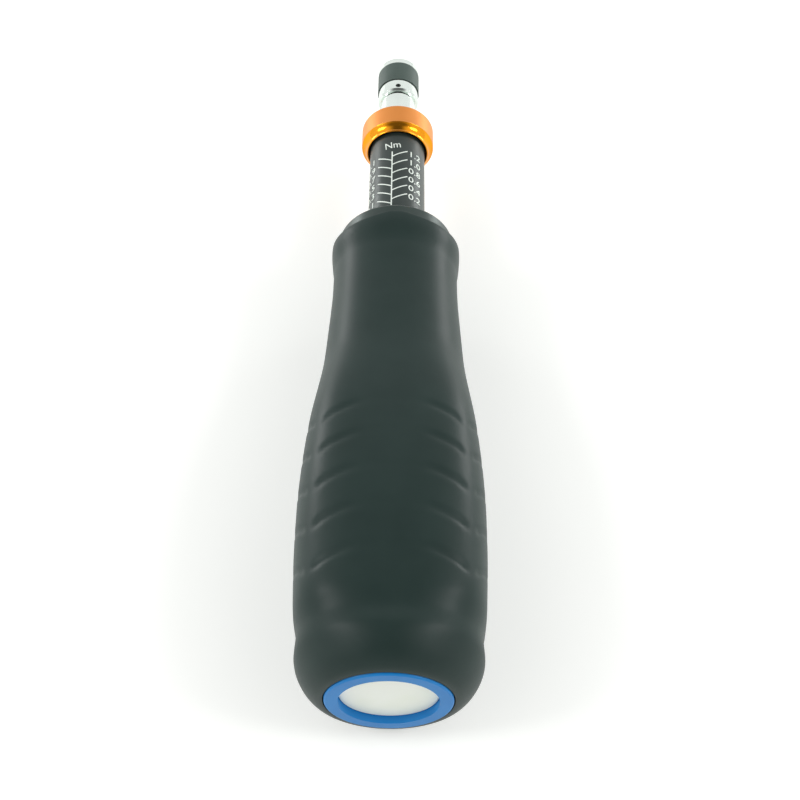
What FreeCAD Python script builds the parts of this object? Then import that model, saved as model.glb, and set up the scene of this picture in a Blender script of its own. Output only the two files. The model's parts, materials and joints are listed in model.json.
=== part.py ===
import FreeCAD, Part
import math
import os

# Torque screwdriver with a quick-change bit chuck.  Millimetres.
# The tool lies along +Y with its tip at +Y, on the lower panel of its grip, with +Z up.
# The origin is on the floor, under the middle of the tool.
# A station is a distance along the tool's axis from the rear face of the end ring.

# ---- driving dimensions -------------------------------------------------------------

# fits
running_fit = 0.05          # radial clearance of a shaft or slide in its bore
axial_play = 0.05           # gap between faces that turn or slide on each other
free_gap = 0.3              # gap between pieces that never touch

# handle
grip_rear = 0.4             # station of the rubber's rear face
grip_front = 124.3
grip_rear_wall = 0.4        # of the rubber round the end ring
grip_front_wall = 1.1       # of the rubber round the reading collar
shoulder_rise = 0.55        # from the rubber's front edge to its shoulder
belly_station = 40.0
belly_radius = 20.75
dome_power = 1.6            # of the curve round the rear: 1 is a cone, 2 an ellipse
brow_power = 3.8            # of the curve round the front
grip_profile = (            # station and half-width from the rear dome to the neck
    (8.5, 19.7),
    (12.0, 19.4),
    (16.5, 20.1),
    (22.0, 20.4),
    (30.0, 20.7),
    (belly_station, belly_radius),
    (52.0, 20.3),
    (64.0, 19.3),
    (74.0, 18.15),
    (84.0, 17.05),
    (95.0, 16.35),
    (106.0, 15.8),
    (114.0, 15.75),
)
shoulder_station = 122.1
belly_squareness = 3.4      # exponent of the grip's section: 2 is round
neck_squareness = 2.4
panel_start = 4.0           # stations between which the four panels fade in and out
panel_full = 20.0
panel_fade = 61.0
panel_end = 86.0
scallop_depth = 2.4         # how far the rubber's front edge is swept back between its four points
core_radius = 13.2
core_wall = 2.2
core_rear = 3.0
core_front = 117.0
core_counterbore_step = 0.8  # seat of the end ring's spigot
core_counterbore_depth = 5.0

# end ring and disc
ring_overhang = 0.05        # of the end ring over the core
ring_width = 2.85           # of the end ring's flat face
ring_shelf = 1.2            # that the disc sits on
ring_edge = 0.5
disc_recess = 1.6
disc_thickness = 1.8
disc_edge = 0.4

# clutch
jam_nut_thickness = 2.0
jam_nut_bore = 6.6
rear_plug_thickness = 4.5
spanner_hole_radius = 1.0
spanner_hole_inset = 3.5    # from the core's bore
thrust_washer_thickness = 1.0
thrust_washer_inset = 1.4
tail_radius = 3.0           # of the spindle behind its cam
cam_inset = 0.8
cam_thickness = 3.5
clutch_ball_radius = 1.9
clutch_ball_count = 3
clutch_ball_inset = 3.4     # from the core's bore to the balls' centres
pocket_count = 12
pocket_depth = 0.7
cage_thickness = 2.3
cage_pin_radius = 0.7
cage_pin_length = 3.5
pin_recess = 0.3            # of pins and screws below the core's outside
plate_inset = 0.5
plate_thickness = 3.5
plate_pilot_height = 1.2
plate_pilot_radius = 6.4
spring_inner_radius = 6.6
spring_wire_width = 1.6     # across the coil
spring_wire_height = 1.8    # along the coil
spring_coils = 7.0
spring_room = 36.6          # from the pressure plate to the spring seat
seat_thickness = 3.0
seat_inset = 0.6
seat_pilot_height = 1.2

# spindle and guide tube
spindle_radius = 3.3
guide_radius = 4.9
guide_front = 184.0
groove_count = 10           # one lock position for each hundredth of a newton metre
groove_length = 23.2
groove_front = 167.7

# setting barrel
thread_lead = 1.65          # one turn of the barrel is a tenth of a newton metre
thread_radius = 7.0         # pitch radius
setting_turns = 12
bush_station = 100.0
bush_length = 12.0
thread_runout = 5.0         # of the barrel's thread behind the bush
bush_screw_radius = 1.5
bush_screw_bite = 1.5       # how far a screw reaches into the bush
bush_screw_count = 3
barrel_radius = 7.56
barrel_rear_radius = 6.8
barrel_wall_gap = 0.4       # between the barrel's bore and the guide tube
barrel_front = 171.6
nose_radius = 7.2
nose_station = 164.2
nose_bore_length = 14.0
lock_ball_radius = 1.5
lock_ball_count = 2
lock_ball_station = 166.0
lock_ball_travel = 0.48
lock_taper_margin = 0.9     # of the taper beyond the ball at each end of its travel
lock_ring_travel = 3.0
lock_ring_radius = 10.0
lock_ring_rear = 163.1
lock_ring_front = 171.8
lock_ring_mouth = 8.17
lock_ring_cove = 2.3        # length of the hollow chamfer at the lock ring's rear
lock_ring_lip = 0.35        # width of the rear lip left by the chamfer
lock_ring_hollow = 0.25     # how deep the chamfer is hollowed, as a share of its bevel
lock_ring_edge = 0.4
ring_stop_radius = 8.0      # snap ring that stops the lock ring
ring_stop_seat = 6.4        # radius of the snap ring's groove
ring_stop_thickness = 0.6
ring_stop_end = 0.3         # from the snap ring to the barrel's front end

# reading collar
collar_radius = 14.84
collar_front = 127.4
collar_spigot_wall = 2.0
collar_spigot_length = 4.5
reading_edge = 134.6
reading_edge_radius = 8.0
collar_land = 3.5           # length of the collar's mouth that guides the barrel

# chuck
tip_station = 198.0
chuck_collar_length = 4.0
chuck_collar_radius = 5.7
chuck_gap = 0.3
chuck_body_radius = 4.6
chuck_body_setback = 0.4    # from the sleeve's front to the chuck body's front
socket_across_flats = 6.45  # quarter-inch hexagon bit with clearance
socket_depth = 9.0
magnet_radius = 2.5
magnet_thickness = 1.2
chuck_pin_radius = 0.75
chuck_pin_recess = 0.5
sleeve_radius = 5.95
sleeve_travel = 2.2
sleeve_edge = 0.3
sleeve_bore = 5.15          # of the sleeve's spring chamber
sleeve_land_length = 1.7
sleeve_band_length = 7.4
sleeve_band_depth = 0.35
bit_ball_radius = 0.93
bit_ball_travel = 0.5
bit_taper_margin = 0.5
sleeve_wire = 0.35
sleeve_coils = 3.0
sleeve_stop_thickness = 0.6
sleeve_stop_seat = 4.2      # radius of the snap ring's groove
sleeve_stop_end = 1.0       # from the stop ring to the chuck body's front

# ---- places that follow from them ----------------------------------------------------

axis_height = belly_radius
overall_length = tip_station
axis_direction = FreeCAD.Vector(0, 1, 0)
setting_travel = thread_lead * setting_turns

core_bore = core_radius - core_wall
core_counterbore = core_bore + core_counterbore_step
ring_radius = core_radius + ring_overhang
ring_bore = ring_radius - ring_width
ring_spigot_bore = ring_bore - ring_shelf
grip_rear_radius = ring_radius + free_gap + grip_rear_wall
grip_front_radius = collar_radius + grip_front_wall
shoulder_radius = grip_front_radius + shoulder_rise
collar_bore = core_bore - collar_spigot_wall
thrust_washer_radius = core_bore - thrust_washer_inset
cam_radius = core_bore - cam_inset
plate_radius = core_bore - plate_inset
seat_radius = core_bore - seat_inset
clutch_circle = core_bore - clutch_ball_inset
spanner_hole_circle = core_bore - spanner_hole_inset

spigot_front = core_rear + core_counterbore_depth
jam_nut_front = spigot_front + jam_nut_thickness
plug_front = jam_nut_front + rear_plug_thickness
washer_front = plug_front + thrust_washer_thickness
cam_rear = washer_front + axial_play
cam_face = cam_rear + cam_thickness
clutch_ball_station = cam_face - pocket_depth + clutch_ball_radius
cage_rear = cam_face + free_gap
cage_front = cage_rear + cage_thickness
plate_rear = clutch_ball_station + clutch_ball_radius
plate_front = plate_rear + plate_thickness
seat_rear = plate_front + spring_room
seat_front = seat_rear + seat_thickness
barrel_rear = seat_front + axial_play
bush_front = bush_station + bush_length
thread_front = bush_front + setting_travel + free_gap
guide_bore = spindle_radius + running_fit
barrel_bore = guide_radius + barrel_wall_gap
nose_bore_rear = barrel_front - nose_bore_length
ring_stop_front = barrel_front - ring_stop_end
ring_stop_rear = ring_stop_front - ring_stop_thickness
lock_ball_free = guide_radius + running_fit + lock_ball_radius
lock_ball_locked = lock_ball_free - lock_ball_travel
chuck_rear = guide_front + chuck_gap
chuck_collar_front = chuck_rear + chuck_collar_length
chuck_body_front = tip_station - chuck_body_setback
socket_floor = chuck_body_front - socket_depth
magnet_rear = socket_floor - magnet_thickness
spindle_front = magnet_rear - axial_play
sleeve_rear = chuck_collar_front + free_gap
bit_ball_station = sleeve_rear + sleeve_travel + bit_taper_margin
bit_ball_circle = chuck_body_radius - running_fit - bit_ball_radius
sleeve_land_front = bit_ball_station + sleeve_land_length
sleeve_stop_front = chuck_body_front - sleeve_stop_end
sleeve_stop_rear = sleeve_stop_front - sleeve_stop_thickness

# ---- helpers -------------------------------------------------------------------------


def at(station, radius=0.0, angle=0.0):
    """A point by its station, its distance from the axis and its angle from the top, towards +X."""
    turn = math.radians(angle)
    return FreeCAD.Vector(
        radius * math.sin(turn),
        station - overall_length / 2,
        axis_height + radius * math.cos(turn),
    )


def outward(angle):
    """The direction away from the axis at an angle from the top."""
    return at(0, 1, angle) - at(0)


def turned(outline):
    """A solid of revolution about the tool's axis, from (station, radius) corners."""
    corners = [at(station, radius) for station, radius in outline]
    face = Part.Face(Part.makePolygon(corners + corners[:1]))
    return face.revolve(at(0), axis_direction, 360)


def tube(rear, front, outer, inner=0.0):
    """A plain cylinder or tube between two stations."""
    solid = Part.makeCylinder(outer, front - rear, at(rear), axis_direction)
    if inner:
        solid = solid.cut(Part.makeCylinder(inner, front - rear, at(rear), axis_direction))
    return solid


def rims(solid, station, radius):
    """The circular edges of a solid at a station and a radius."""
    found = []
    for edge in solid.Edges:
        curve = edge.Curve
        if isinstance(curve, Part.Circle) and abs(curve.Radius - radius) < 1e-4:
            if (curve.Center - at(station)).Length < 1e-4:
                found.append(edge)
    return found


def rounded(solid, size, *places):
    """The solid with its circular edges at (station, radius) places rounded."""
    edges = [edge for place in places for edge in rims(solid, *place)]
    return solid.makeFillet(size, edges)


def bevelled(solid, size, *places):
    """The solid with its circular edges at (station, radius) places bevelled."""
    edges = [edge for place in places for edge in rims(solid, *place)]
    return solid.makeChamfer(size, edges)


def radial_pin(station, inner, outer, radius, angle):
    """A round pin that points away from the axis."""
    return Part.makeCylinder(radius, outer - inner, at(station, inner, angle), outward(angle))


def ball(station, circle, radius, angle):
    return Part.makeSphere(radius, at(station, circle, angle))


def spread(count, first=0.0):
    """Equally spaced angles round the axis."""
    return [first + 360.0 * index / count for index in range(count)]


def bores(count, circle, radius, rear, depth):
    """Equally spaced round bars along the axis, as tools for holes or grooves."""
    return [
        Part.makeCylinder(radius, depth, at(rear, circle, angle), axis_direction)
        for angle in spread(count)
    ]


def cut_all(solid, tools):
    return solid.cut(Part.makeCompound(tools))


def taper_radius(distance, circle, radius, slope):
    """Radius of a taper that just clears a ball, at a distance along the axis from the ball."""
    reach = (radius + running_fit) * math.sqrt(1 + slope**2)
    return circle + reach + slope * distance


def coil_spring(rear, front, inner_radius, width, height, coils):
    """A spring of flat wire that just fits between two stations."""
    middle = inner_radius + width / 2
    pitch = (front - rear - height) / coils
    helix = Part.makeHelix(pitch, pitch * coils, middle)
    corners = [
        FreeCAD.Vector(middle + across * width / 2, 0, along * height / 2)
        for across, along in ((-1, -1), (1, -1), (1, 1), (-1, 1))
    ]
    profile = Part.makePolygon(corners + corners[:1])
    spring = Part.Wire(helix).makePipeShell([profile], True, True)
    spring.rotate(FreeCAD.Vector(0, 0, 0), FreeCAD.Vector(1, 0, 0), -90)
    spring.translate(at(rear + height / 2))
    return spring


# ---- handle --------------------------------------------------------------------------


def blend(start, end, station):
    """0 before the start, 1 after the end and a smooth rise between."""
    share = min(max((station - start) / (end - start), 0.0), 1.0)
    return (1 - math.cos(math.pi * share)) / 2


def slope(points, index):
    """Slope of a smooth curve at one of its points: level at its ends, peaks and hollows."""
    if index in (0, len(points) - 1):
        return 0.0
    (x0, y0), (x1, y1), (x2, y2) = points[index - 1:index + 2]
    if (y2 - y1) * (y1 - y0) <= 0:
        return 0.0
    return (y2 - y0) / (x2 - x0)


def smooth_curve(points, x):
    """Height at x of a smooth curve through points, with no wave between them."""
    index = max(i for i, point in enumerate(points[:-1]) if point[0] <= x)
    (x0, y0), (x1, y1) = points[index:index + 2]
    share = (x - x0) / (x1 - x0)
    rise = share**2 * (3 - 2 * share)
    start = share * (1 - share) ** 2 * slope(points, index)
    end = share**2 * (share - 1) * slope(points, index + 1)
    return y0 + (y1 - y0) * rise + (start + end) * (x1 - x0)


def grip_radius(station):
    """Half the grip's width across its panels."""
    dome_station, dome_radius = grip_profile[0]
    if station < dome_station:
        share = (dome_station - station) / (dome_station - grip_rear)
        bulge = (1 - min(share, 1.0) ** dome_power) ** (1 / dome_power)
        return grip_rear_radius + (dome_radius - grip_rear_radius) * bulge
    if station < shoulder_station:
        return smooth_curve([*grip_profile, (shoulder_station, shoulder_radius)], station)
    share = (station - shoulder_station) / (grip_front - shoulder_station)
    bulge = (1 - min(share, 1.0) ** brow_power) ** (1 / brow_power)
    return grip_front_radius + (shoulder_radius - grip_front_radius) * bulge


def grip_section(station):
    """The closed outline of the grip at a station: round at its rear, four panels at its belly."""
    power = 2 + (belly_squareness - 2) * blend(panel_start, panel_full, station)
    power -= (belly_squareness - neck_squareness) * blend(panel_fade, panel_end, station)
    half = grip_radius(station)
    points = []
    for angle in spread(32):
        turn = math.radians(angle)
        reach = (abs(math.cos(turn)) ** power + abs(math.sin(turn)) ** power) ** (1 / power)
        points.append(at(station, half / reach, angle))
    curve = Part.BSplineCurve()
    curve.interpolate(Points=points, PeriodicFlag=True)
    return Part.Wire(curve.toShape())


def grip_stations():
    """Stations for the grip's sections: close together where it curves most."""
    knots = [station for station, radius in grip_profile] + [shoulder_station]
    rear = [grip_rear + (knots[0] - grip_rear) * share for share in (0, 0.02, 0.08, 0.2, 0.4, 0.7)]
    halfway = [(start + end) / 2 for start, end in zip(knots, knots[1:])]
    brow_length = grip_front - shoulder_station
    brow = [shoulder_station + brow_length * share for share in (0.4, 0.7, 0.9, 1)]
    return sorted(rear + knots + halfway + brow)


def grip_sleeve():
    """The moulded rubber grip, with its front edge swept back between four points."""
    grip = Part.makeLoft([grip_section(station) for station in grip_stations()], True)
    reach = collar_radius * math.sin(math.radians(45))
    scallop_radius = (reach**2 + scallop_depth**2) / (2 * scallop_depth)
    centre = grip_front - scallop_depth + scallop_radius
    cutters = [
        radial_pin(centre, collar_radius / 2, 2 * collar_radius, scallop_radius, angle)
        for angle in spread(4, 45.0)
    ]
    cutters.append(tube(0, core_rear, ring_radius + free_gap))
    cutters.append(tube(core_rear, core_front, core_radius))
    cutters.append(tube(core_front, grip_front + 1, collar_radius))
    for cutter in cutters:
        grip = grip.cut(cutter)
    return grip


def handle_core():
    """The hard tube inside the grip, which carries the whole mechanism."""
    core = tube(core_rear, core_front, core_radius, core_bore)
    core = core.cut(tube(core_rear, spigot_front, core_counterbore))
    return cut_all(core, cage_pins(core_radius + 1) + bush_screws(core_radius + 1))


def end_ring():
    """The coloured ring that closes the rear of the handle."""
    ring = turned([
        (0, ring_bore),
        (0, ring_radius),
        (core_rear, ring_radius),
        (core_rear, core_counterbore),
        (spigot_front, core_counterbore),
        (spigot_front, ring_spigot_bore),
        (disc_recess + disc_thickness, ring_spigot_bore),
        (disc_recess + disc_thickness, ring_bore),
    ])
    return rounded(ring, ring_edge, (0, ring_radius))


def end_disc():
    """The plain disc set into the end ring."""
    radius = ring_bore - running_fit
    disc = tube(disc_recess, disc_recess + disc_thickness, radius)
    return rounded(disc, disc_edge, (disc_recess, radius))


def index_collar():
    """The collar that the scale is read against: a drum, a cone and a close mouth."""
    collar = turned([
        (core_front - collar_spigot_length, collar_bore),
        (core_front - collar_spigot_length, core_bore),
        (core_front, core_bore),
        (core_front, collar_radius),
        (collar_front, collar_radius),
        (reading_edge, reading_edge_radius),
        (reading_edge, barrel_radius + running_fit),
        (reading_edge - collar_land, barrel_radius + running_fit),
        (reading_edge - collar_land, collar_bore),
    ])
    return rounded(collar, ring_edge, (collar_front, collar_radius))


def bush_screws(outer):
    """Grub screws that hold the threaded bush in the core."""
    station = bush_station + bush_length / 2
    return [
        radial_pin(station, core_bore - bush_screw_bite, outer, bush_screw_radius, angle)
        for angle in spread(bush_screw_count, 60.0)
    ]


def thread_bush():
    """The brass nut that the barrel screws through, drawn plain at its pitch radius."""
    bush = tube(bush_station, bush_front, core_bore, thread_radius + running_fit)
    return cut_all(bush, bush_screws(core_radius))


def guide_tube():
    """The fixed tube that the barrel slides on, grooved for the lock balls."""
    guide = tube(cage_rear, guide_front, guide_radius, guide_bore)
    groove_radius = lock_ball_radius + running_fit
    groove_rear = groove_front - groove_length
    grooves = bores(groove_count, lock_ball_locked, groove_radius, groove_rear, groove_length)
    guide = cut_all(guide, grooves)
    return bevelled(guide, ring_edge, (guide_front, guide_radius))


# ---- clutch --------------------------------------------------------------------------


def jam_nut():
    """The ring nut that locks the rear plug."""
    return tube(spigot_front, jam_nut_front, core_bore, jam_nut_bore)


def rear_plug():
    """The threaded plug behind the cam. Its spanner holes set the tool's calibration."""
    plug = tube(jam_nut_front, plug_front, core_bore, tail_radius + running_fit)
    depth = rear_plug_thickness / 2
    return cut_all(plug, bores(2, spanner_hole_circle, spanner_hole_radius, jam_nut_front, depth))


def thrust_washer():
    """The bronze washer that carries the spring's load behind the cam."""
    return tube(plug_front, washer_front, thrust_washer_radius, tail_radius + running_fit)


def spindle():
    """The driven shaft, with the clutch's cam at its rear."""
    shaft = turned([
        (jam_nut_front, 0),
        (jam_nut_front, tail_radius),
        (cam_rear, tail_radius),
        (cam_rear, cam_radius),
        (cam_face, cam_radius),
        (cam_face, spindle_radius),
        (spindle_front, spindle_radius),
        (spindle_front, 0),
    ])
    pockets = [
        ball(clutch_ball_station, clutch_circle, clutch_ball_radius + running_fit, angle)
        for angle in spread(pocket_count)
    ]
    shaft = cut_all(shaft, pockets)
    return shaft.cut(chuck_pin())


def clutch_balls():
    """Balls that sit in every fourth pocket of the cam."""
    return [
        ball(clutch_ball_station, clutch_circle, clutch_ball_radius, angle)
        for angle in spread(clutch_ball_count)
    ]


def cage_pins(outer):
    """Pins through the core that keep the ball cage from turning."""
    station = (cage_rear + cage_front) / 2
    inner = core_radius - pin_recess - cage_pin_length
    return [
        radial_pin(station, inner, outer, cage_pin_radius, angle)
        for angle in spread(clutch_ball_count, 60.0)
    ]


def ball_cage():
    """The fixed disc whose holes keep the clutch balls in place and carry the guide tube."""
    cage = tube(cage_rear, cage_front, core_bore, guide_radius)
    hole_radius = clutch_ball_radius + running_fit
    holes = bores(clutch_ball_count, clutch_circle, hole_radius, cage_rear, cage_thickness)
    return cut_all(cage, holes + cage_pins(core_radius))


def pressure_plate():
    """The sliding plate that the spring presses on the clutch balls."""
    bore = guide_radius + running_fit
    plate = tube(plate_rear, plate_front, plate_radius, bore)
    pilot = tube(plate_front, plate_front + plate_pilot_height, plate_pilot_radius, bore)
    return plate.fuse(pilot).removeSplitter()


def main_spring():
    return coil_spring(
        plate_front, seat_rear, spring_inner_radius, spring_wire_width, spring_wire_height, spring_coils
    )


def spring_seat():
    """The sliding washer between the main spring and the barrel."""
    bore = guide_radius + running_fit
    seat = tube(seat_rear, seat_front, seat_radius, bore)
    pilot = tube(seat_rear - seat_pilot_height, seat_rear, plate_pilot_radius, bore)
    return seat.fuse(pilot).removeSplitter()


# ---- setting barrel ------------------------------------------------------------------


def barrel():
    """The barrel that carries the scale and screws into the handle to load the spring."""
    sleeve = turned([
        (barrel_rear, barrel_bore),
        (barrel_rear, barrel_rear_radius),
        (bush_station - thread_runout, barrel_rear_radius),
        (bush_station - thread_runout, thread_radius),
        (thread_front, thread_radius),
        (thread_front, barrel_radius),
        (nose_station, barrel_radius),
        (nose_station, nose_radius),
        (barrel_front, nose_radius),
        (barrel_front, guide_radius + running_fit),
        (nose_bore_rear, guide_radius + running_fit),
        (nose_bore_rear, barrel_bore),
    ])
    groove = tube(ring_stop_rear, ring_stop_front, ring_stop_radius, ring_stop_seat)
    hole_radius = lock_ball_radius + running_fit
    holes = [
        radial_pin(lock_ball_station, guide_radius / 2, lock_ring_radius, hole_radius, angle)
        for angle in spread(lock_ball_count)
    ]
    return cut_all(sleeve, holes + [groove])


def lock_ring():
    """The ring that locks the setting: its taper presses the balls into the guide's grooves."""
    slope = -lock_ball_travel / lock_ring_travel
    taper_rear = lock_ball_station - lock_taper_margin
    taper_front = lock_ball_station + lock_ring_travel + lock_taper_margin
    rear_bore, front_bore = [
        taper_radius(station - lock_ball_station, lock_ball_free, lock_ball_radius, slope)
        for station in (taper_rear, taper_front)
    ]
    shoulder = ring_stop_rear - axial_play
    cove_front = lock_ring_rear + lock_ring_cove
    ring = turned([
        (lock_ring_rear, lock_ring_mouth),
        (lock_ring_rear, lock_ring_radius),
        (lock_ring_front, lock_ring_radius),
        (lock_ring_front, ring_stop_radius + free_gap),
        (shoulder, ring_stop_radius + free_gap),
        (shoulder, nose_radius + running_fit),
        (taper_front, nose_radius + running_fit),
        (taper_front, front_bore),
        (taper_rear, rear_bore),
        (taper_rear, lock_ring_mouth),
    ])
    lip = at(lock_ring_rear, lock_ring_mouth + lock_ring_lip)
    rim = at(cove_front, lock_ring_radius)
    corner = at(lock_ring_rear, lock_ring_radius)
    bow = (corner - (lip + rim) / 2) * lock_ring_hollow
    cove = Part.Arc(lip, (lip + rim) / 2 - bow, rim).toShape()
    waste = Part.Face(Part.Wire([cove] + Part.makePolygon([rim, corner, lip]).Edges))
    ring = ring.cut(waste.revolve(at(0), axis_direction, 360))
    return bevelled(ring, lock_ring_edge, (lock_ring_front, lock_ring_radius))


def lock_balls():
    return [
        ball(lock_ball_station, lock_ball_free, lock_ball_radius, angle)
        for angle in spread(lock_ball_count)
    ]


def ring_stop():
    """The snap ring in the barrel's nose that keeps the lock ring on."""
    return tube(ring_stop_rear, ring_stop_front, ring_stop_radius, ring_stop_seat)


# ---- chuck ---------------------------------------------------------------------------


def chuck_pin(recess=chuck_pin_recess):
    """The cross pin between the chuck body and the spindle, below the collar's outside."""
    station = (chuck_rear + magnet_rear) / 2
    reach = chuck_collar_radius - recess
    return Part.makeCylinder(chuck_pin_radius, 2 * reach, at(station, reach, 180), outward(0))


def chuck_body():
    """The hexagon socket that takes a bit, pinned on the spindle's front."""
    body = tube(chuck_rear, chuck_collar_front, chuck_collar_radius)
    body = body.fuse(tube(chuck_collar_front, chuck_body_front, chuck_body_radius)).removeSplitter()
    body = bevelled(body, ring_edge, (chuck_rear, chuck_collar_radius))
    flat = socket_across_flats / 2
    corner = socket_across_flats / math.sqrt(3)
    points = [at(socket_floor, corner, angle) for angle in spread(6, 30.0)]
    socket = Part.Face(Part.makePolygon(points + points[:1])).extrude(axis_direction * socket_depth)
    lead_in = corner - flat
    mouth = Part.makeCone(flat, corner, lead_in, at(chuck_body_front - lead_in), axis_direction)
    return cut_all(body, [
        socket,
        mouth,
        tube(chuck_rear, magnet_rear, spindle_radius),
        tube(magnet_rear, socket_floor, magnet_radius),
        radial_pin(bit_ball_station, flat / 2, sleeve_radius, bit_ball_radius + running_fit, 0),
        chuck_pin(-chuck_pin_recess),
        tube(sleeve_stop_rear, sleeve_stop_front, chuck_body_radius, sleeve_stop_seat),
    ])


def magnet():
    """The magnet at the bottom of the socket."""
    return tube(magnet_rear, socket_floor, magnet_radius)


def bit_ball():
    """The ball that drops into a bit's groove."""
    return ball(bit_ball_station, bit_ball_circle, bit_ball_radius, 0)


def chuck_sleeve():
    """The sliding sleeve. Its taper lets the bit ball out as it moves forward."""
    bore = chuck_body_radius + running_fit
    slope = -bit_ball_travel / sleeve_travel
    rear_bore = taper_radius(sleeve_rear - bit_ball_station, bit_ball_circle, bit_ball_radius, slope)
    sleeve = turned([
        (sleeve_rear, rear_bore),
        (sleeve_rear, sleeve_radius - sleeve_band_depth),
        (sleeve_rear + sleeve_band_length, sleeve_radius - sleeve_band_depth),
        (sleeve_rear + sleeve_band_length, sleeve_radius),
        (tip_station, sleeve_radius),
        (tip_station, sleeve_bore),
        (sleeve_land_front, sleeve_bore),
        (sleeve_land_front, bore),
        (bit_ball_station, bore),
    ])
    return bevelled(sleeve, sleeve_edge, (tip_station, sleeve_radius))


def sleeve_band():
    """The black band round the sleeve."""
    band_front = sleeve_rear + sleeve_band_length
    return tube(sleeve_rear, band_front, sleeve_radius, sleeve_radius - sleeve_band_depth)


def sleeve_stop():
    """The snap ring that keeps the sleeve on and backs its spring."""
    return tube(sleeve_stop_rear, sleeve_stop_front, sleeve_bore - running_fit, sleeve_stop_seat)


def sleeve_spring():
    inner = chuck_body_radius + running_fit
    width = sleeve_bore - inner - running_fit
    return coil_spring(sleeve_land_front, sleeve_stop_rear, inner, width, sleeve_wire, sleeve_coils)


# ---- all pieces ----------------------------------------------------------------------


def numbered(name, solids):
    return {f"{name}_{index + 1}": solid for index, solid in enumerate(solids)}


def all_pieces():
    pieces = {
        "grip_sleeve": grip_sleeve(),
        "handle_core": handle_core(),
        "end_ring": end_ring(),
        "end_disc": end_disc(),
        "index_collar": index_collar(),
        "thread_bush": thread_bush(),
        "guide_tube": guide_tube(),
        "jam_nut": jam_nut(),
        "rear_plug": rear_plug(),
        "thrust_washer": thrust_washer(),
        "ball_cage": ball_cage(),
        "spindle": spindle(),
        "pressure_plate": pressure_plate(),
        "main_spring": main_spring(),
        "spring_seat": spring_seat(),
        "barrel": barrel(),
        "lock_ring": lock_ring(),
        "ring_stop": ring_stop(),
        "chuck_body": chuck_body(),
        "chuck_pin": chuck_pin(),
        "magnet": magnet(),
        "bit_ball": bit_ball(),
        "chuck_sleeve": chuck_sleeve(),
        "sleeve_band": sleeve_band(),
        "sleeve_stop": sleeve_stop(),
        "sleeve_spring": sleeve_spring(),
    }
    pieces.update(numbered("bush_screw", bush_screws(core_radius - pin_recess)))
    pieces.update(numbered("cage_pin", cage_pins(core_radius - pin_recess)))
    pieces.update(numbered("clutch_ball", clutch_balls()))
    pieces.update(numbered("lock_ball", lock_balls()))
    return pieces


os.makedirs("parts", exist_ok=True)
for name, shape in all_pieces().items():
    shape.exportStep(f"parts/{name}.step")
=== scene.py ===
import json
import math

import bpy
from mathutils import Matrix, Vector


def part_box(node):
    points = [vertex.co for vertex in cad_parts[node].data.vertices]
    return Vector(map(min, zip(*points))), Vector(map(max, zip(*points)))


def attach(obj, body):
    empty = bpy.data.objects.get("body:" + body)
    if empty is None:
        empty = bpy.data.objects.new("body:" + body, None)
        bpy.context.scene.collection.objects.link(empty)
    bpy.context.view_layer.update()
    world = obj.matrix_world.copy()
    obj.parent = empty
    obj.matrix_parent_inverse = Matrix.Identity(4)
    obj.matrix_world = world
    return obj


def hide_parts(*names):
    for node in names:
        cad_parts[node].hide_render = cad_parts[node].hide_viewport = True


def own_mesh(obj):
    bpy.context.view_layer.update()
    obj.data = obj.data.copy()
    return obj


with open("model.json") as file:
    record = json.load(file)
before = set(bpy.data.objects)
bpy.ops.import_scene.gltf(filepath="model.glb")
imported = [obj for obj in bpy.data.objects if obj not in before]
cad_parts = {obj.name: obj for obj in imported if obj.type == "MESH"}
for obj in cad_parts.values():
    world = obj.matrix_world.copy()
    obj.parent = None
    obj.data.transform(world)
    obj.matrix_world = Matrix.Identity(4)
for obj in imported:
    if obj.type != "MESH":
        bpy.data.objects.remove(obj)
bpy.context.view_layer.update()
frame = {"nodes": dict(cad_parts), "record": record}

# The torque screwdriver lies along Y with its bit socket at +Y and its end ring at -Y.
# Metres.  A station is the distance along the axis from the rear face of the end ring.

mm = 0.001


def rear(node):
    """Station of a node's rear end."""
    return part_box(node)[0][1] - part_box("end_ring")[0][1]


def front(node):
    """Station of a node's front end."""
    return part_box(node)[1][1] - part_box("end_ring")[0][1]


def half_width(node):
    """Half a node's width across the axis."""
    return (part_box(node)[1][0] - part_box(node)[0][0]) / 2


end_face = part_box("end_ring")[0][1]
axis_height = (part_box("end_ring")[0][2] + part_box("end_ring")[1][2]) / 2


# ---- modelling helpers ---------------------------------------------------------------


def deselect():
    """Leaves nothing selected, in object mode."""
    if bpy.context.object and bpy.context.object.mode != "OBJECT":
        bpy.ops.object.mode_set(mode="OBJECT")
    bpy.ops.object.select_all(action="DESELECT")


def edit(piece):
    """Enters edit mode on one piece with all of it selected."""
    deselect()
    piece.select_set(True)
    bpy.context.view_layer.objects.active = piece
    bpy.ops.object.mode_set(mode="EDIT")
    bpy.ops.mesh.select_all(action="SELECT")


def leave_edit():
    bpy.ops.object.mode_set(mode="OBJECT")


def close_seams(piece):
    """Joins doubled points and turns every face outward."""
    edit(piece)
    bpy.ops.mesh.remove_doubles(threshold=1e-6)
    bpy.ops.mesh.normals_make_consistent(inside=False)
    leave_edit()


def place_at_origin(piece):
    """Puts the piece's origin at the world's, unturned and unscaled."""
    deselect()
    piece.select_set(True)
    bpy.context.view_layer.objects.active = piece
    bpy.ops.object.transform_apply(location=True, rotation=True, scale=True)


def apply_bevel(piece, width, sharper_than, segments):
    """Rounds the edges that turn by more than an angle."""
    deselect()
    piece.select_set(True)
    bpy.context.view_layer.objects.active = piece
    bevel = piece.modifiers.new("edges", "BEVEL")
    bevel.width = width
    bevel.segments = segments
    bevel.limit_method = "ANGLE"
    bevel.angle_limit = math.radians(sharper_than)
    bevel.use_clamp_overlap = True
    bpy.ops.object.modifier_apply(modifier=bevel.name)


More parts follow.
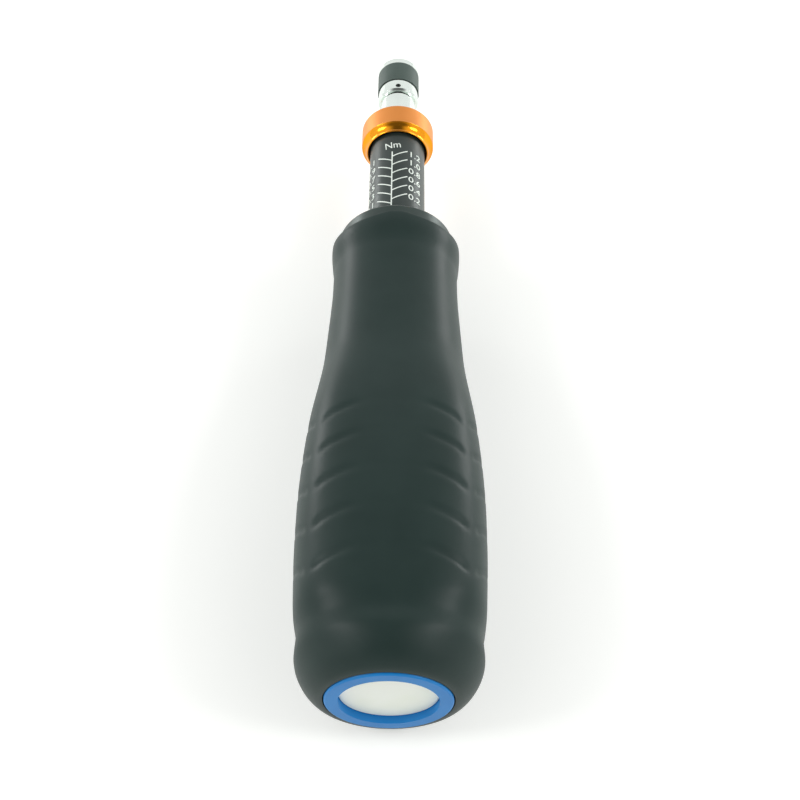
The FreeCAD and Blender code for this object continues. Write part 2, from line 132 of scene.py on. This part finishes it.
def smooth(piece, sharper_than):
    """Shades a piece smooth, apart from edges that turn by more than an angle."""
    deselect()
    piece.select_set(True)
    bpy.context.view_layer.objects.active = piece
    bpy.ops.object.shade_smooth_by_angle(angle=math.radians(sharper_than))


def turned(name, outline, steps):
    """A piece turned on the tool's axis from an outline of (station, radius) points.

    The outline runs from one point to the next and back to the first.
    """
    deselect()
    first_station, first_radius = outline[0]
    place = (0, end_face + first_station, axis_height + first_radius)
    bpy.ops.mesh.primitive_plane_add(size=mm, location=place)
    piece = bpy.context.object
    piece.name = name
    piece.data.name = name
    edit(piece)
    bpy.ops.mesh.merge(type="CENTER")
    here = outline[0]
    for point in outline[1:] + outline[:1]:
        move = (0, point[0] - here[0], point[1] - here[1])
        bpy.ops.mesh.extrude_region_move(TRANSFORM_OT_translate={"value": move})
        here = point
    bpy.ops.mesh.select_all(action="SELECT")
    bpy.ops.mesh.spin(
        steps=steps,
        angle=math.radians(360),
        center=(0, end_face, axis_height),
        axis=(0, 1, 0),
    )
    leave_edit()
    close_seams(piece)
    place_at_origin(piece)
    smooth(piece, 35.0)
    return piece


def join(name, pieces):
    """Makes several pieces one, under a new name."""
    deselect()
    for piece in pieces:
        piece.select_set(True)
    bpy.context.view_layer.objects.active = pieces[0]
    bpy.ops.object.join()
    joined = bpy.context.object
    joined.name = name
    joined.data.name = name
    return joined


def finish_piece(piece, body, materials, nodes=()):
    """Gives a piece its body, its finish and the nodes that it stands for."""
    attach(piece, body)
    if nodes:
        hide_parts(*nodes)
    piece.data.materials.clear()
    for made in materials:
        piece.data.materials.append(made)


# ---- finishes --------------------------------------------------------------------------


drift_size = 9.0 * mm           # of the patches in which a finish's colour drifts
gloss_swing = 0.12              # share by which its roughness varies
wave_scale = 0.314              # of a Wave texture whose bands are one unit apart


def to_linear(hex_colour):
    """A colour written as on a screen, in the renderer's linear values."""
    channels = [int(hex_colour[index:index + 2], 16) / 255 for index in (1, 3, 5)]
    linear = [c / 12.92 if c <= 0.04045 else ((c + 0.055) / 1.055) ** 2.4 for c in channels]
    return (*linear, 1.0)


def add_node(tree, kind, settings):
    """Adds a shader node, sets its fields and sockets, and links sockets given as values."""
    made = tree.nodes.new("ShaderNode" + kind)
    for key, value in settings.items():
        if isinstance(value, bpy.types.NodeSocket):
            tree.links.new(value, made.inputs[key])
        elif isinstance(key, str) and hasattr(made, key):
            setattr(made, key, value)
        else:
            made.inputs[key].default_value = value
    return made


def finish(name, dark, light, roughness, grain, depth, metallic=0.0, marks=0.0, coat=0.0, sheen=0.5):
    """A finish whose colour drifts between two shades, over a fine grain.

    grain is the size of the surface's grain and depth its height; marks is the pitch of
    the tool marks left by turning, all in millimetres.  sheen is the level of its plain
    mirror light, 0.5 for most plastics.
    """
    made = bpy.data.materials.new(name)
    made.use_nodes = True
    tree = made.node_tree
    shader = tree.nodes["Principled BSDF"]
    shader.inputs["Metallic"].default_value = metallic
    shader.inputs["Coat Weight"].default_value = coat
    shader.inputs["Specular IOR Level"].default_value = sheen
    place = add_node(tree, "TexCoord", {})
    drift = add_node(tree, "TexNoise", {
        "Vector": place.outputs["Object"],
        "Scale": 1 / drift_size,
        "Detail": 4.0,
    })
    shade = add_node(tree, "MapRange", {
        "Value": drift.outputs["Fac"],
        "From Min": 0.3,
        "From Max": 0.7,
    })
    colour = add_node(tree, "Mix", {
        "data_type": "RGBA",
        "Factor": shade.outputs["Result"],
        6: to_linear(dark),
        7: to_linear(light),
    })
    tree.links.new(colour.outputs[2], shader.inputs["Base Color"])
    fine = add_node(tree, "TexNoise", {
        "Vector": place.outputs["Object"],
        "Scale": 1 / (grain * mm),
        "Detail": 3.0,
    })
    gloss = add_node(tree, "MapRange", {
        "Value": fine.outputs["Fac"],
        "From Min": 0.25,
        "From Max": 0.75,
        "To Min": roughness * (1 - gloss_swing),
        "To Max": roughness * (1 + gloss_swing),
    })
    tree.links.new(gloss.outputs["Result"], shader.inputs["Roughness"])
    relief = add_node(tree, "Bump", {
        "Height": fine.outputs["Fac"],
        "Strength": 0.6,
        "Distance": depth * mm,
    })
    if marks:
        lines = add_node(tree, "TexWave", {
            "bands_direction": "Y",
            "Vector": place.outputs["Object"],
            "Scale": wave_scale / (marks * mm),
            "Distortion": 0.6,
            "Detail": 2.0,
            "Detail Scale": 0.4,
        })
        relief = add_node(tree, "Bump", {
            "Height": lines.outputs["Fac"],
            "Normal": relief.outputs["Normal"],
            "Strength": 0.5,
            "Distance": depth * mm,
        })
    tree.links.new(relief.outputs["Normal"], shader.inputs["Normal"])
    return made


# soft black thermoplastic rubber, finely spark-eroded in its mould
grip_rubber = finish("grip_rubber", "#20302D", "#243431", 0.44, grain=0.16, depth=0.012, sheen=0.22)
# injection-moulded blue polypropylene
ring_blue = finish("moulded_blue", "#0E76BE", "#157FC8", 0.4, grain=0.25, depth=0.004, sheen=0.3)
# plain white ABS
disc_white = finish("moulded_white", "#F6FAEC", "#FCFEF6", 0.35, grain=0.25, depth=0.002)
# black-anodised aluminium of the reading collar
collar_black = finish("collar_anodised", "#2B3835", "#33413D", 0.34, metallic=0.35, grain=0.1, depth=0.003)
# black-anodised aluminium with fine turning marks
barrel_black = finish(
    "barrel_anodised", "#222E2B", "#2C3835", 0.36, grain=0.1, depth=0.006, metallic=0.2, marks=0.22, coat=0.1
)
# orange-anodised aluminium, bead-blasted
ring_satin = finish("orange_satin", "#E08C3C", "#E69444", 0.46, metallic=0.45, grain=0.08, depth=0.004)
# the same anodising over a polished cut
ring_polished = finish("orange_polished", "#F29A1E", "#F7A428", 0.16, metallic=1.0, grain=0.3, depth=0.001)
# bright chrome over turned steel
chrome = finish("bright_chrome", "#DDE6E0", "#E6EEE8", 0.14, metallic=1.0, grain=0.3, depth=0.001)
# the collar's marks, a shade lighter than its anodising
mark_grey = finish("mark_grey", "#3E4B47", "#465450", 0.4, metallic=0.3, grain=0.1, depth=0.002)
# dark nitrile band
band_black = finish("band_rubber", "#44534D", "#4C5B55", 0.5, grain=0.12, depth=0.02, marks=0.7, sheen=0.3)
# white print
print_white = finish("white_print", "#E4EFE6", "#F0F7F0", 0.5, grain=0.1, depth=0.001)

brass = finish("brass", "#B08A3C", "#BE9848", 0.3, metallic=1.0, grain=0.15, depth=0.002, marks=0.3)
bronze = finish("sintered_bronze", "#8E6232", "#9C6E3C", 0.45, metallic=1.0, grain=0.2, depth=0.005)
steel = finish("turned_steel", "#A9ADAC", "#B5B8B6", 0.3, metallic=1.0, grain=0.15, depth=0.002, marks=0.25)
spring_steel = finish("spring_steel", "#6E7272", "#7A7E7D", 0.35, metallic=1.0, grain=0.2, depth=0.003)
bearing_steel = finish("bearing_steel", "#C6CAC9", "#CDD1CF", 0.08, metallic=1.0, grain=0.4, depth=0.001)
core_alloy = finish(
    "core_alloy", "#9EA3A2", "#AAAFAD", 0.38, grain=0.15, depth=0.003, metallic=1.0, marks=0.3
)
magnet_nickel = finish("magnet_nickel", "#B9B8AE", "#C4C2B8", 0.2, metallic=1.0, grain=0.3, depth=0.001)
screw_black = finish("screw_black", "#232625", "#2D302F", 0.4, metallic=0.8, grain=0.15, depth=0.002)

slot_finishes = {
    "grip_rubber": grip_rubber,
    "core_alloy": core_alloy,
    "end_ring_blue": ring_blue,
    "end_disc_white": disc_white,
    "collar_black": collar_black,
    "brass": brass,
    "bronze": bronze,
    "steel": steel,
    "spring_steel": spring_steel,
    "bearing_steel": bearing_steel,
    "guide_chrome": chrome,
    "chuck_chrome": chrome,
    "magnet_nickel": magnet_nickel,
    "barrel_black": barrel_black,
    "ring_orange": ring_satin,
    "band_black": band_black,
    "screw_black": screw_black,
}
for part in frame["record"]["subparts"]:
    for socket in frame["nodes"][part["node"]].material_slots:
        socket.material = slot_finishes[part["material_slot"]]


# ---- grip ----------------------------------------------------------------------------

grip_rear = rear("grip_sleeve")
grip_front = front("grip_sleeve")
grip_rear_radius = 13.95 * mm
grip_front_radius = 15.94 * mm
dome_power = 1.6                # of the curve round the rear: 1 is a cone, 2 an ellipse
brow_power = 3.8                # of the curve round the front
grip_profile = [                # station and half-width, in millimetres
    (8.5, 19.7), (12.0, 19.4), (16.5, 20.1), (22.0, 20.4), (30.0, 20.7), (40.0, 20.75), (52.0, 20.3),
    (64.0, 19.3), (74.0, 18.15), (84.0, 17.05), (95.0, 16.35), (106.0, 15.8), (114.0, 15.75), (122.1, 16.49),
]
belly_squareness = 3.4          # exponent of the grip's section: 2 is round
neck_squareness = 2.4
panel_start = 4.0 * mm          # stations between which the four panels fade in and out
panel_full = 20.0 * mm
panel_fade = 61.0 * mm
panel_end = 86.0 * mm
scallop_depth = 2.4 * mm        # how far the rubber's front edge is swept back between its points
scoop_stations = [station * mm for station in (25.4, 35.0, 44.5, 53.7, 62.4)]
scoop_depth = 0.42 * mm
scoop_length = 2.8 * mm         # along the grip
scoop_bow = 5.0 * mm            # how far a scoop's ends bend to the rear
scoop_rise = (0.34, 0.72)       # of the way from a panel's middle to its ridge, where a scoop deepens
scoop_fade = (0.84, 0.99)       # and where it ends
scoop_ridge = (0.9, 1.0)        # and where a panel's own ridge stays whole
scoop_bend = 2.2                # power of the way across, by which its ends bend
scoop_middle = 0.05             # share of its depth at a panel's middle
ring_gap = 0.25 * mm            # between the rubber and the end ring
collar_gap = 0.05 * mm          # between the rubber and the reading collar
ring_hole_depth = 4.0 * mm      # that the grip's open ends are modelled to
collar_hole_depth = 8.0 * mm
surface_margin = 0.01 * mm
outer_margin = 0.1 * mm         # that tells the grip's outside from its holes
grip_steps = 224                # points round the grip
grip_rings = 210                # rings along it
ring_crowding = 0.6             # how much closer together they lie at the grip's ends


def blend(start, end, value):
    """0 before the start, 1 after the end and a smooth rise between."""
    share = min(max((value - start) / (end - start), 0.0), 1.0)
    return (1 - math.cos(math.pi * share)) / 2


def slope(points, index):
    """Slope of a smooth curve at one of its points: level at its ends, peaks and hollows."""
    if index in (0, len(points) - 1):
        return 0.0
    (x0, y0), (x1, y1), (x2, y2) = points[index - 1:index + 2]
    if (y2 - y1) * (y1 - y0) <= 0:
        return 0.0
    return (y2 - y0) / (x2 - x0)


def smooth_curve(points, x):
    """Height at x of a smooth curve through points, with no wave between them."""
    index = max(i for i, point in enumerate(points[:-1]) if point[0] <= x)
    (x0, y0), (x1, y1) = points[index:index + 2]
    share = (x - x0) / (x1 - x0)
    rise = share**2 * (3 - 2 * share)
    start = share * (1 - share) ** 2 * slope(points, index)
    end = share**2 * (share - 1) * slope(points, index + 1)
    return y0 + (y1 - y0) * rise + (start + end) * (x1 - x0)


def grip_radius(station):
    """Half the grip's width across its panels."""
    dome_station, dome_radius = [size * mm for size in grip_profile[0]]
    shoulder_station, shoulder_radius = [size * mm for size in grip_profile[-1]]
    if station < dome_station:
        share = (dome_station - station) / (dome_station - grip_rear)
        bulge = (1 - min(share, 1.0) ** dome_power) ** (1 / dome_power)
        return grip_rear_radius + (dome_radius - grip_rear_radius) * bulge
    if station < shoulder_station:
        return smooth_curve(grip_profile, station / mm) * mm
    share = (station - shoulder_station) / (grip_front - shoulder_station)
    bulge = (1 - min(share, 1.0) ** brow_power) ** (1 / brow_power)
    return grip_front_radius + (shoulder_radius - grip_front_radius) * bulge


def squareness(station):
    """Exponent of the grip's section at a station."""
    full = belly_squareness - 2
    lost = belly_squareness - neck_squareness
    return 2 + full * blend(panel_start, panel_full, station) - lost * blend(panel_fade, panel_end, station)


def scoop(station, across):
    """Depth of the finger scoops; across runs from 0 at a panel's middle to 1 at its ridge."""
    edge = blend(*scoop_rise, across) * (1 - blend(*scoop_fade, across))
    depth = 0.0
    for middle in scoop_stations:
        bend = scoop_bow * across**scoop_bend
        offset = (station - middle + bend) / scoop_length
        if -0.5 < offset < 0.5:
            rise = math.cos(math.pi * offset) ** 2
            depth = max(depth, rise * (scoop_middle + (1 - scoop_middle) * edge))
    return depth * scoop_depth * (1 - blend(*scoop_ridge, across))


def shape_grip(piece):
    """Moves the points of a turned grip to its four-panelled, scooped form."""
    collar_hole = half_width("index_collar") + collar_gap + surface_margin
    reach = collar_hole * math.sin(math.radians(45))
    scallop_radius = (reach**2 + scallop_depth**2) / (2 * scallop_depth)
    scallop_centre = grip_front - scallop_depth + scallop_radius
    sweep_start = grip_profile[-3][0] * mm
    for point in piece.data.vertices:
        x, z = point.co.x, point.co.z - axis_height
        reach = math.hypot(x, z)
        station = point.co.y - end_face
        turn = math.atan2(x, z)
        behind_middle = station < grip_front / 2
        if reach > collar_hole + outer_margin or behind_middle and reach > grip_rear_radius - outer_margin:
            power = squareness(station)
            side = (abs(math.cos(turn)) ** power + abs(math.sin(turn)) ** power) ** (-1 / power)
            across = abs((math.degrees(turn) + 45) % 90 - 45) / 45
            side -= scoop(station, across) / reach
            x, z, reach = x * side, z * side, reach * side
        if station > sweep_start:
            from_diagonal = turn % math.radians(90) - math.radians(45)
            offset = reach * math.sin(from_diagonal)
            edge = scallop_centre - math.sqrt(max(scallop_radius**2 - offset**2, 0))
            share = (station - sweep_start) / (grip_front - sweep_start)
            station -= (grip_front - min(edge, grip_front)) * share**2
        point.co = (x, end_face + station, axis_height + z)


def make_grip():
    """The moulded rubber grip: four soft panels, finger scoops and a scalloped front edge."""
    ring_hole = half_width("end_ring") + ring_gap
    collar_hole = half_width("index_collar") + collar_gap
    outline = [
        (grip_rear + ring_hole_depth, ring_hole),
        (grip_rear, ring_hole),
    ]
    for index in range(grip_rings + 1):
        even = index / grip_rings
        crowded = (1 - math.cos(math.pi * even)) / 2
        share = ring_crowding * crowded + (1 - ring_crowding) * even
        station = grip_rear + (grip_front - grip_rear) * share
        outline.append((station, grip_radius(station)))
    outline.append((grip_front, collar_hole))
    outline.append((grip_front - collar_hole_depth, collar_hole))
    piece = turned("grip", outline, grip_steps)
    shape_grip(piece)
    smooth(piece, 50.0)
    return piece


grip = make_grip()
finish_piece(grip, "handle", [grip_rubber], ["grip_sleeve"])


# ---- reading collar --------------------------------------------------------------------

cone_start = 127.4 * mm         # station where the collar's drum turns to a cone
reading_edge = front("index_collar")
reading_edge_radius = 8.0 * mm
mark_pitch = 7.2                # degrees between the fine marks of the reading edge
mark_length = 2.4 * mm
mark_width = 0.3 * mm
mark_thickness = 0.12 * mm
mark_edge = 0.03 * mm
mark_inset = 0.35 * mm          # from the reading edge to a mark


def make_collar_marks():
    """The fine raised marks that the collar is read by, from its reading edge rearwards."""
    cone_slope = (half_width("index_collar") - reading_edge_radius) / (reading_edge - cone_start)
    lean = math.atan(cone_slope)
    middle = reading_edge - mark_inset - mark_length / 2 * math.cos(lean)
    height = reading_edge_radius + (reading_edge - middle) * cone_slope
    marks = []
    for index in range(round(360 / mark_pitch)):
        deselect()
        bpy.ops.mesh.primitive_cube_add(size=1.0, location=(0, 0, 0))
        mark = bpy.context.object
        mark.name = "collar_mark"
        edit(mark)
        bpy.ops.transform.resize(value=(mark_width, mark_length, mark_thickness))
        bpy.ops.mesh.bevel(offset=mark_edge, segments=2)
        leave_edit()
        turn = math.radians(mark_pitch * index)
        mark.location = (height * math.sin(turn), end_face + middle, axis_height + height * math.cos(turn))
        mark.rotation_euler = (0, turn, 0)
        mark.rotation_euler.rotate_axis("X", -lean)
        place_at_origin(mark)
        marks.append(mark)
    return join("collar_marks", marks)


collar_marks = make_collar_marks()
finish_piece(collar_marks, "handle", [mark_grey])


# ---- scale on the barrel -----------------------------------------------------------------

barrel_radius = 7.56 * mm       # of its printed length
first_mark = 135.75 * mm        # station of the 0.1 mark on the long line
mark_step = 1.65 * mm           # one turn of the barrel, a tenth of a newton metre
mark_count = 12
line_angle = -10.0              # of the scale's long line, clockwise from the top
line_width = 0.32 * mm
print_height = 0.04 * mm
line_start = 130.0 * mm         # stations of the long line's ends, the first hidden in the collar
line_past_last = 1.9 * mm
tick_rise = 2.4 * mm            # how far a tick's outer end stands ahead of the long line's
right_side = (22.0, 40.0, 1.65 * mm)   # angles of a tick's end and its value, and the value's rise
left_side = (-42.0, -66.0, 2.35 * mm)
value_height = 2.1 * mm
value_spread = 1.2              # width of the values' characters, against the plain font's
unit_place = (-9.0, 158.3 * mm)  # angle and station of the unit's middle
unit_height = 2.5 * mm
unit_spread = 0.86
unit_lean = 5.0                 # degrees
capital_share = 0.72            # of a font's size that its capitals take


def wrap(piece):
    """Bends a flat print round the barrel: x runs round it, y along it, z outward."""
    for point in piece.data.vertices:
        turn = point.co.x / barrel_radius
        reach = barrel_radius + point.co.z
        point.co = (reach * math.sin(turn), point.co.y, axis_height + reach * math.cos(turn))


def around(degrees):
    """Distance round the barrel from its top."""
    return math.radians(degrees) * barrel_radius


def stroke(start, end, width):
    """A flat printed line from one (round, station) point to another."""
    (x0, y0), (x1, y1) = start, end
    length = math.hypot(x1 - x0, y1 - y0)
    deselect()
    bpy.ops.mesh.primitive_grid_add(x_subdivisions=12, y_subdivisions=1, size=1.0, location=(0, 0, 0))
    line = bpy.context.object
    edit(line)
    bpy.ops.transform.resize(value=(length, width, 1))
    bpy.ops.mesh.extrude_region_move(TRANSFORM_OT_translate={"value": (0, 0, print_height)})
    leave_edit()
    close_seams(line)
    line.location = ((x0 + x1) / 2, end_face + (y0 + y1) / 2, 0)
    line.rotation_euler = (0, 0, math.atan2(y1 - y0, x1 - x0))
    place_at_origin(line)
    return line


def lettering(words, middle, height, width_share, lean=0.0):
    """Printed characters centred on a (round, station) point."""
    deselect()
    bpy.ops.object.text_add(location=(0, 0, 0))
    text = bpy.context.object
    text.data.body = words
    text.data.align_x = "CENTER"
    text.data.align_y = "CENTER"
    text.data.size = height / capital_share
    text.data.extrude = print_height / 2
    text.data.resolution_u = 4
    bpy.ops.object.convert(target="MESH")
    text = bpy.context.object
    text.scale = (width_share, 1, 1)
    text.rotation_euler = (0, 0, math.radians(lean))
    text.location = (middle[0], end_face + middle[1], print_height / 2)
    place_at_origin(text)
    close_seams(text)
    edit(text)
    bpy.ops.mesh.quads_convert_to_tris()
    bpy.ops.mesh.subdivide(number_cuts=2)
    leave_edit()
    return text


def make_scale():
    """The white scale: a long line with a slanting tick and a value for each turn of the barrel."""
    printed = []
    line_end = first_mark + mark_step * (mark_count - 1) + line_past_last
    printed.append(stroke((around(line_angle), line_start), (around(line_angle), line_end), line_width))
    for index in range(mark_count):
        station = first_mark + mark_step * index
        tenths = index + 1
        value = f"{tenths // 10}.{tenths % 10}"
        right = tenths % 2 == 0
        tick_angle, value_angle, value_rise = right_side if right else left_side
        tip = (around(tick_angle), station + tick_rise)
        printed.append(stroke((around(line_angle), station), tip, line_width))
        place = (around(value_angle), station + value_rise)
        printed.append(lettering(value, place, value_height, value_spread))
    unit_angle, unit_station = unit_place
    unit_middle = (around(unit_angle), unit_station)
    printed.append(lettering("Nm", unit_middle, unit_height, unit_spread, unit_lean))
    scale = join("scale_print", printed)
    wrap(scale)
    return scale


scale_print = make_scale()
finish_piece(scale_print, "barrel", [print_white])


# ---- lock ring -----------------------------------------------------------------------------

ring_mouth = 8.17 * mm          # radius of its rear opening
ring_lip = 0.35 * mm            # width of the flat round the mouth
cove_length = 2.3 * mm          # of the hollow chamfer, along the tool
cove_hollow = 0.25              # how far its curve lies inside a straight chamfer
cove_steps = 8
ring_recess = 170.65 * mm       # station of the step that the snap ring lies against
ring_recess_radius = 8.3 * mm
ring_bore = 7.25 * mm           # that slides on the barrel
taper_start = 2.0 * mm          # from the ring's rear end to the taper over the lock balls
taper_end = 7.0 * mm
ring_edge = 0.3 * mm
ring_steps = 160                # points round the ring


def make_lock_ring():
    """The lock ring: a blasted barrel shape with a polished hollow chamfer at its rear."""
    back = rear("lock_ring")
    face = front("lock_ring")
    outer = half_width("lock_ring")
    lip = ring_mouth + ring_lip
    climb = outer - lip
    outline = [(back, ring_mouth), (back, lip)]
    for index in range(1, cove_steps + 1):
        share = index / cove_steps
        sag = 4 * share * (1 - share) * cove_hollow / 2
        station = back + cove_length * share + climb * sag
        outline.append((station, lip + climb * share - cove_length * sag))
    outline += [
        (face, outer),
        (face, ring_recess_radius),
        (ring_recess, ring_recess_radius),
        (ring_recess, ring_bore),
        (back + taper_end, ring_bore),
        (back + taper_start, ring_mouth),
    ]
    piece = turned("lock_ring_body", outline, ring_steps)
    apply_bevel(piece, ring_edge, 50.0, 3)
    smooth(piece, 40.0)
    return piece


def polish_cove(piece, index):
    """Gives the faces of the hollow chamfer the polished finish."""
    cove_end = rear("lock_ring") + cove_length - 0.05 * mm
    inside_lip = ring_mouth + 0.13 * mm
    for face in piece.data.polygons:
        station = face.center.y - end_face
        reach = math.hypot(face.center.x, face.center.z - axis_height)
        if station < cove_end and reach > inside_lip and face.normal.y < -0.2:
            face.material_index = index


lock_ring_body = make_lock_ring()
finish_piece(lock_ring_body, "lock_ring", [ring_satin, ring_polished], ["lock_ring"])
polish_cove(lock_ring_body, 1)


# ---- springs -------------------------------------------------------------------------------


def make_spring(node, body):
    """A coil spring copied from its CAD node, riding on one body."""
    deselect()
    coils = bpy.data.objects.new(node + "_coils", frame["nodes"][node].data.copy())
    bpy.context.scene.collection.objects.link(coils)
    close_seams(coils)
    smooth(coils, 50.0)
    finish_piece(coils, body, [spring_steel], [node])
    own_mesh(coils)


make_spring("main_spring", "clutch")
make_spring("sleeve_spring", "chuck_sleeve")


# ---- camera, light and floor -----------------------------------------------------------

camera_place = (3.24 * mm, -203.0 * mm, 259.45 * mm)
camera_turn = (math.radians(37.13), 0, math.radians(0.54))
camera_lens = 56.46             # millimetres, on a sensor 36 wide
world_light = 0.85              # strength of the surround as plain light
overhead_dark = 0.88            # how much darker it is straight overhead
overhead_heights = (0.6, 0.97)  # sines of the heights between which that darkening comes in
overhead_sides = (0.15, 0.6)    # distances to the side over which it goes out again
lens_dark = 0.85                # how much darker it is round the lens
lens_direction = (0.0, -0.62, 0.785)
lens_edges = (0.78, 0.96)       # cosines of the angles from the lens between which it comes in
floor_size = 3.0
floor_glow = 0.3
key_size = 0.3
key_power = 2.5
edge_size = 0.24
edge_power = 2.0
key_aim = (0, 0.05, 0)
edge_aim = (0, 0, 0.02)


def make_camera():
    """Looks down the tool from behind its rear end."""
    bpy.ops.object.camera_add(location=camera_place, rotation=camera_turn)
    camera = bpy.context.object
    camera.name = "camera"
    camera.data.lens = camera_lens
    camera.data.sensor_width = 36.0
    camera.data.clip_start = 0.01
    bpy.context.scene.camera = camera


def area_light(name, place, aim, size, power):
    """A square soft box that points from one place to another."""
    bpy.ops.object.light_add(type="AREA", location=place)
    lamp = bpy.context.object
    lamp.name = name
    lamp.data.size = size
    lamp.data.energy = power
    reach = [end - begin for begin, end in zip(place, aim)]
    flat = math.hypot(reach[0], reach[1])
    lamp.rotation_euler = (math.atan2(flat, -reach[2]), 0, math.atan2(-reach[0], reach[1]))


def make_world():
    """An even white surround, darker straight overhead and behind the lens."""
    world = bpy.data.worlds.new("white_surround")
    world.use_nodes = True
    bpy.context.scene.world = world
    tree = world.node_tree
    shown = tree.nodes["Background"]
    shown.inputs["Color"].default_value = (1.0, 1.0, 1.0, 1.0)
    place = add_node(tree, "TexCoord", {})
    direction = add_node(tree, "SeparateXYZ", {"Vector": place.outputs["Generated"]})
    height = add_node(tree, "MapRange", {
        "interpolation_type": "SMOOTHSTEP",
        "Value": direction.outputs["Z"],
        "From Min": overhead_heights[0],
        "From Max": overhead_heights[1],
        "To Max": overhead_dark,
    })
    sideways = add_node(tree, "Math", {"operation": "ABSOLUTE", 0: direction.outputs["X"]})
    narrow = add_node(tree, "MapRange", {
        "interpolation_type": "SMOOTHSTEP",
        "Value": sideways.outputs["Value"],
        "From Min": overhead_sides[0],
        "From Max": overhead_sides[1],
        "To Min": 1.0,
        "To Max": 0.0,
    })
    overhead = add_node(tree, "Math", {
        "operation": "MULTIPLY",
        0: height.outputs["Result"],
        1: narrow.outputs["Result"],
    })
    toward_lens = add_node(tree, "VectorMath", {
        "operation": "DOT_PRODUCT",
        0: place.outputs["Generated"],
        1: lens_direction,
    })
    lens = add_node(tree, "MapRange", {
        "interpolation_type": "SMOOTHSTEP",
        "Value": toward_lens.outputs["Value"],
        "From Min": lens_edges[0],
        "From Max": lens_edges[1],
        "To Max": lens_dark,
    })
    darker = add_node(tree, "Math", {
        "operation": "MAXIMUM",
        0: overhead.outputs["Value"],
        1: lens.outputs["Result"],
    })
    shade = add_node(tree, "Math", {"operation": "SUBTRACT", 0: 1.0, 1: darker.outputs["Value"]})
    ray = add_node(tree, "LightPath", {})
    mirrored = add_node(tree, "MapRange", {
        "Value": ray.outputs["Is Glossy Ray"],
        "To Min": world_light,
        "To Max": 1.0,
    })
    lit = add_node(tree, "Math", {
        "operation": "MULTIPLY",
        0: shade.outputs["Value"],
        1: mirrored.outputs["Result"],
    })
    level = add_node(tree, "Math", {
        "operation": "MAXIMUM",
        0: ray.outputs["Is Camera Ray"],
        1: lit.outputs["Value"],
    })
    tree.links.new(level.outputs["Value"], shown.inputs["Strength"])


def make_floor():
    """A pale table top that stays white to the eye and keeps the tool's shadow."""
    bpy.ops.mesh.primitive_plane_add(size=floor_size, location=(0, 0, 0))
    floor = bpy.context.object
    floor.name = "floor"
    edit(floor)
    bpy.ops.mesh.subdivide(number_cuts=3)
    leave_edit()
    place_at_origin(floor)
    paper = bpy.data.materials.new("white_table")
    paper.use_nodes = True
    tree = paper.node_tree
    shader = tree.nodes["Principled BSDF"]
    shader.inputs["Base Color"].default_value = to_linear("#F4F6F2")
    shader.inputs["Roughness"].default_value = 0.8
    shader.inputs["Emission Color"].default_value = (1.0, 1.0, 1.0, 1.0)
    ray = add_node(tree, "LightPath", {})
    seen = add_node(tree, "Math", {
        "operation": "MAXIMUM",
        0: ray.outputs["Is Camera Ray"],
        1: ray.outputs["Is Glossy Ray"],
    })
    glow = add_node(tree, "Math", {
        "operation": "MULTIPLY",
        0: seen.outputs["Value"],
        1: floor_glow,
    })
    tree.links.new(glow.outputs["Value"], shader.inputs["Emission Strength"])
    floor.data.materials.append(paper)


make_camera()
make_world()
make_floor()
area_light("left_key", (-0.68, -0.17, 0.60), key_aim, key_size, key_power)
area_light("right_key", (0.68, -0.17, 0.60), key_aim, key_size, key_power)
area_light("left_edge", (-0.72, 0.56, 0.13), edge_aim, edge_size, edge_power)
area_light("right_edge", (0.72, 0.56, 0.13), edge_aim, edge_size, edge_power)
bpy.context.scene.view_settings.view_transform = "Standard"
